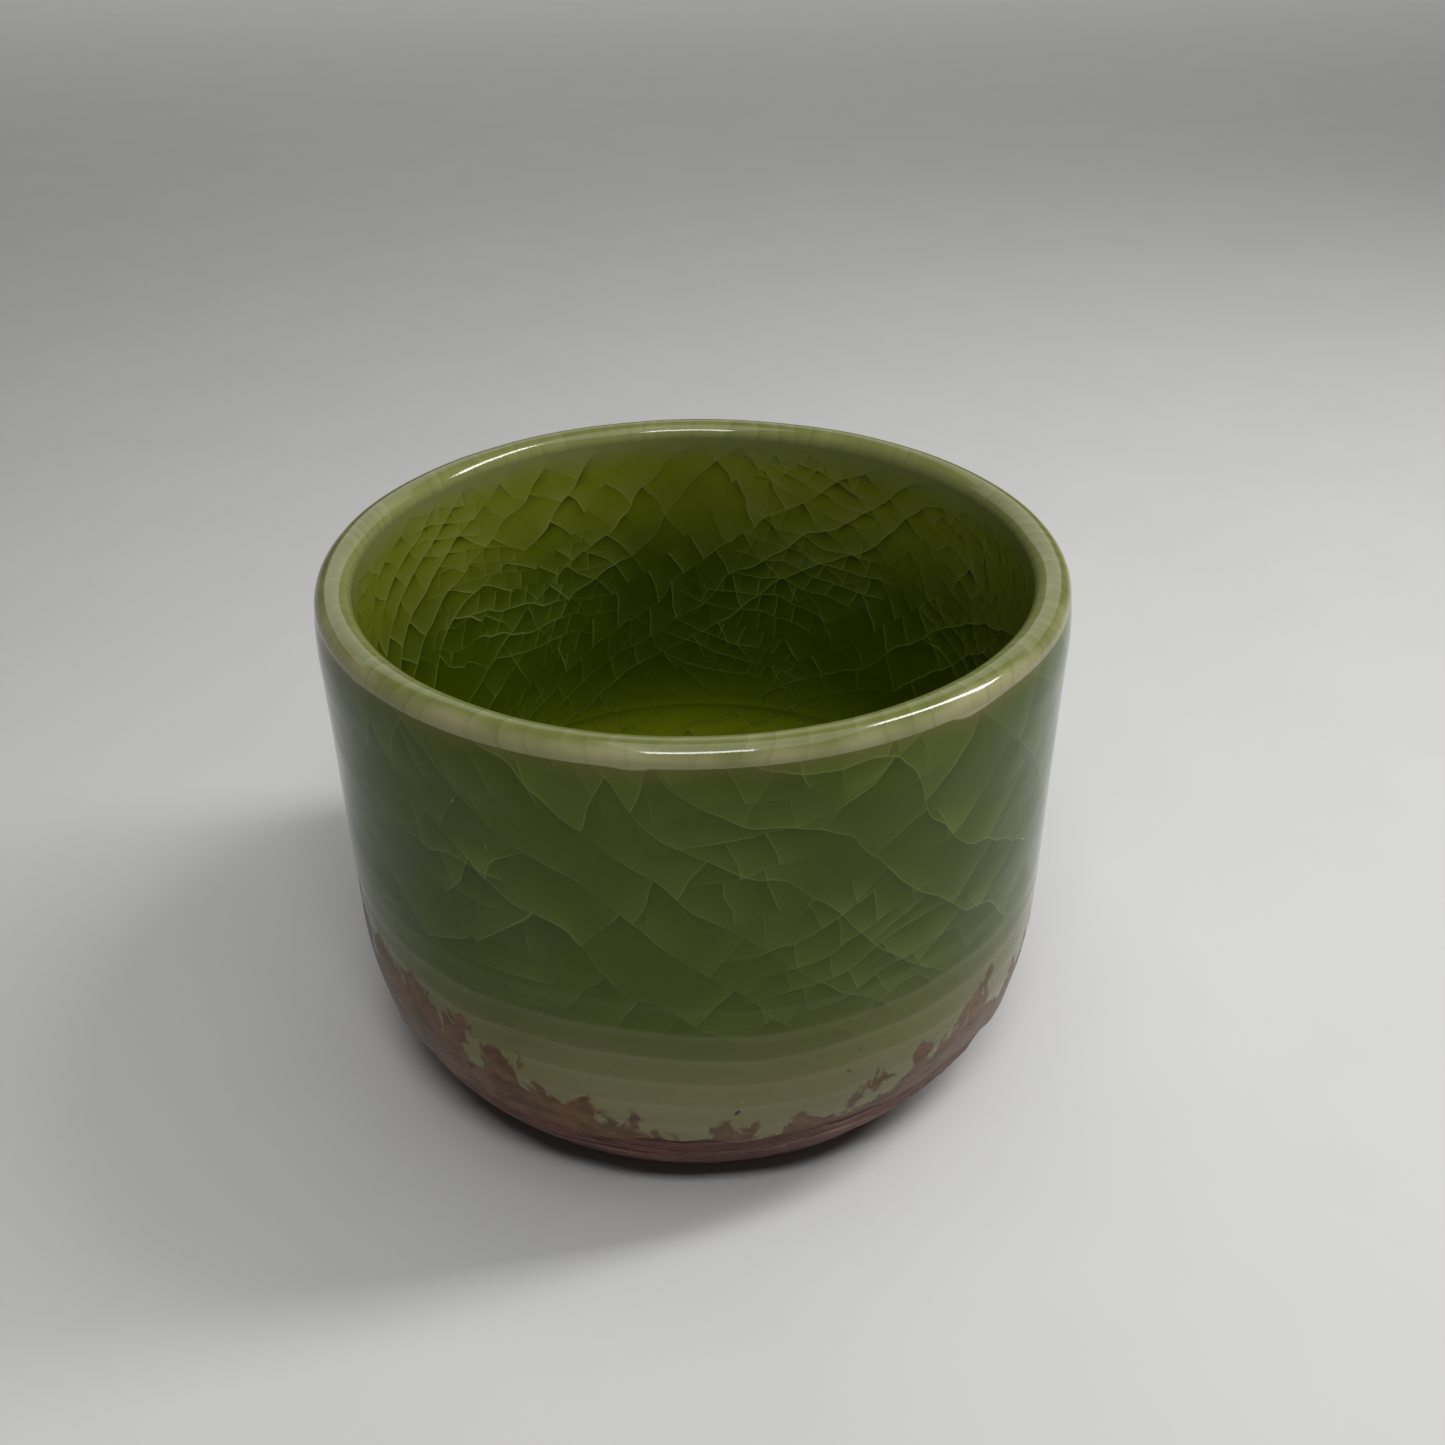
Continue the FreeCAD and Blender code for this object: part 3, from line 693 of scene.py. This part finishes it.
def buildLipCoat():
    outline = joined(
        arcPoints((52.4, 79.8), 2.6, 0, 180, 36),
        straightPoints((49.8, 79.8), (50.2, 79.8), 1),
        arcPoints((52.4, 79.8), 2.2, 180, 0, 12),
        straightPoints((54.6, 79.8), (55.0, 79.8), 1))
    piece = turnOnWheel("lipCoat", outline, lipSettings["steps"])
    weightBy(piece, "crown", lambda radius, height: (height - 80.2) / 2 if height > 80.2 else 0)
    displace(piece, cloud("lipUneven", 0.014, 1), lipSettings["uneven"] * mm, "NORMAL", "crown", 1.0)
    finishPiece(piece, lipMaterial(), "lip_glaze", "lip_glaze")
    return piece


lipCoat = buildLipCoat()
print("lip coat done")


linerSettings = {
    "steps": 300, "shardSize": 0.0052, "floorEdge": 0.0142, "lineWidth": 0.00028, "uneven": 0.30,
    "specular": 0.15, "low": (0.029, 0.043, 0.0005, 1), "high": (0.122, 0.150, 0.009, 1),
    "floor": (0.145, 0.185, 0.004, 1), "litLow": (0.050, 0.068, 0.004, 1),
    "litHigh": (0.150, 0.175, 0.030, 1),
    "dark": (0.015, 0.025, 0.0003, 1), "line": (0.20, 0.225, 0.060, 1), "rim": (0.140, 0.158, 0.050, 1),
}


def linerMaterial():
    material, board, shader, position = newMaterial("linerCeladon")
    height = board.parts(position)[2]
    # darker low on the wall, lighter towards the rim: partly the glaze thinning towards the rim, partly
    # painted light near the rim and painted shade lower down inside the bowl
    colour = board.mix(board.ramp(height, 0.051, 0.077), linerSettings["low"], linerSettings["high"])
    colour = board.mix(board.ramp(height, 0.036, 0.012, 0.0, 0.90), colour, linerSettings["floor"])
    pattern = board.group(crackle, Position=position, Girth=0.0495, Size=linerSettings["shardSize"],
                          Floor=linerSettings["floorEdge"], Line=linerSettings["lineWidth"])
    # the cracks' pale side follows the same painted light, brighter towards the rim
    lit = board.mix(board.ramp(height, 0.045, 0.076), linerSettings["litLow"], linerSettings["litHigh"])
    amount = board.ramp(height, 0.020, 0.065, 0.6, 1.0)
    colour = shadeCracks(board, colour, pattern, amount, lit, linerSettings["dark"],
                         linerSettings["line"])
    # paler band under the rim: partly the glaze thinning there, partly painted light on the inner lip
    # where little lamp light reaches
    sway = board.noise(position, 85.0, 1.0).outputs["Fac"]
    edge = board.maths("ADD", height, board.maths("MULTIPLY", board.maths("SUBTRACT", sway, 0.5), 0.003))
    colour = board.mix(board.ramp(edge, 0.0745, 0.0800), colour, linerSettings["rim"])
    board.feed(shader.inputs["Base Color"], colour)
    setGloss(shader, linerSettings["specular"])
    soft = board.noise(position, 75.0, 2.0).outputs["Fac"]
    board.bump(shader, soft, 0.0012, 0.35)
    return material


def buildLinerCoat():
    outline = joined(
        straightPoints((49.8, 79.8), (49.3, 24.9), 60),
        arcPoints((34.3, 24.8), 15.0, 0.5, -90, 26),
        straightPoints((34.3, 9.8), (0, 9.8), 26),
        [(0, 8.6)],
        straightPoints((0, 8.6), (34.2, 8.6), 6),
        arcPoints((34.2, 24.6), 16.0, -90, 0, 8),
        straightPoints((50.2, 24.6), (50.2, 79.8), 6))
    piece = turnOnWheel("linerCoat", outline, linerSettings["steps"])
    weightBy(piece, "pool", lambda radius, height: min((77 - height) / 8, 1) if radius < 49.95 else 0)
    displace(piece, cloud("linerPool", 0.020, 1), linerSettings["uneven"] * mm, "NORMAL", "pool", 1.0)
    finishPiece(piece, linerMaterial(), "liner_glaze", "liner_glaze")
    return piece


linerCoat = buildLinerCoat()
print("liner coat poured")


stageSettings = {
    "floorSize": 8.0, "floorColour": (0.46, 0.46, 0.45, 1), "floorMottle": (0.42, 0.42, 0.41, 1),
    "floorRoughness": 0.8, "room": 0.05,
}
softboxes = [
    {"name": "rightBox", "place": (0.441, 0.060, 0.554), "aim": (0, 0, 0.08), "width": 0.09, "depth": 0.38,
     "power": 3.5},
    {"name": "frontBox", "place": (0.005, -0.277, 0.497), "aim": (0, 0, 0.08), "width": 0.20,
     "depth": 0.070, "power": 1.15},
    {"name": "topBox", "place": (0.08, -0.10, 0.55), "aim": (0.08, -0.10, 0), "width": 0.40, "depth": 0.40,
     "power": 1.2},
    {"name": "backBox", "place": (0.0, 2.2, 1.2), "aim": (0, 2.2, 0), "width": 4.0, "depth": 2.4,
     "power": 34.0},
]
cameraSettings = {
    "lens": 36.05, "sensor": 36.0, "nearest": 0.01, "place": (0.0, -0.194758, 0.174605),
    "turn": (57.7015, 0.3076, -1.4022),
}


def buildStage():
    deselectAll()
    bpy.ops.mesh.primitive_plane_add(size=stageSettings["floorSize"], location=(0, 0, cadBox[0][2]))
    floor = bpy.context.object
    floor.name = "floor"
    material, board, shader, position = newMaterial("paper")
    mottle = board.noise(position, 25.0, 4.0).outputs["Fac"]
    mottle = board.ramp(mottle, 0.3, 0.7, 0.0, 0.25)
    colour = board.mix(mottle, stageSettings["floorColour"], stageSettings["floorMottle"])
    board.feed(shader.inputs["Base Color"], colour)
    shader.inputs["Roughness"].default_value = stageSettings["floorRoughness"]
    floor.data.materials.append(material)


def addSoftbox(name, place, aim, width, depth, power):
    light = bpy.data.lights.new(name, "AREA")
    light.shape = "RECTANGLE"
    light.size = width
    light.size_y = depth
    light.energy = power
    box = bpy.data.objects.new(name, light)
    bpy.context.scene.collection.objects.link(box)
    box.location = place
    direction = (aim[0] - place[0], aim[1] - place[1], aim[2] - place[2])
    box.rotation_euler = Vector(direction).to_track_quat("-Z", "Y").to_euler()


def buildLights():
    world = bpy.data.worlds.new("room")
    bpy.context.scene.world = world
    world.use_nodes = True
    background = world.node_tree.nodes["Background"]
    background.inputs["Color"].default_value = (1, 1, 1, 1)
    background.inputs["Strength"].default_value = stageSettings["room"]
    for box in softboxes:
        addSoftbox(**box)


def addCamera():
    camera = bpy.data.cameras.new("camera")
    camera.lens = cameraSettings["lens"]
    camera.sensor_width = cameraSettings["sensor"]
    camera.clip_start = cameraSettings["nearest"]
    holder = bpy.data.objects.new("camera", camera)
    bpy.context.scene.collection.objects.link(holder)
    holder.location = cameraSettings["place"]
    holder.rotation_euler = [math.radians(angle) for angle in cameraSettings["turn"]]
    bpy.context.scene.camera = holder


buildStage()
buildLights()
addCamera()
bpy.context.scene.view_settings.view_transform = "Standard"
print("stage lit")
